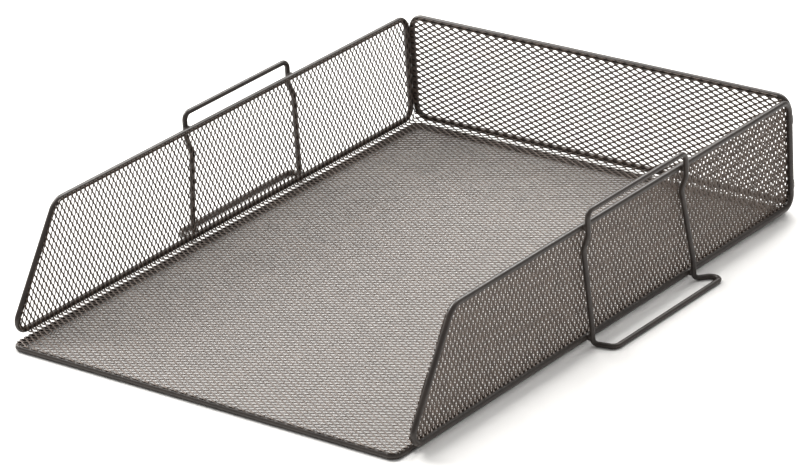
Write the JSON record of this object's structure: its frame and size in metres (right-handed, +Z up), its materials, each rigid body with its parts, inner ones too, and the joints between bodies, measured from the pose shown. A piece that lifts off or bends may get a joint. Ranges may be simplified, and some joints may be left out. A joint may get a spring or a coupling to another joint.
{
  "type": "letter tray",
  "caption": "Stackable open-front desk letter tray: folded diamond-mesh basket in round-wire frames, with a wire hoop and foot loop on each side for stacking.",
  "frame": {"origin": "on the table under the middle of the tray, which is the bottom centre of its bounding box", "axes": "+X is the width towards the right wall, +Y is the depth towards the back wall, +Z is up; the open front faces -Y"},
  "size_m": [0.28, 0.34, 0.073],
  "materials": {
    "mesh": "satin black-brown powder coat on expanded steel",
    "frame_wire": "semi-gloss black-brown powder coat on round steel wire",
    "loop_wire": "semi-gloss black-brown powder coat on round steel wire",
    "weld": "powder coat pooled over spot welds"
  },
  "bodies": {
    "root": {"mesh_basket": "mesh", "base_frame": "frame_wire", "left_frame": "frame_wire", "right_frame": "frame_wire", "back_frame": "frame_wire", "left_stacking_loop": "loop_wire", "right_stacking_loop": "loop_wire", "loop_welds": "weld", "corner_welds": "weld"}
  },
  "joints": []
}
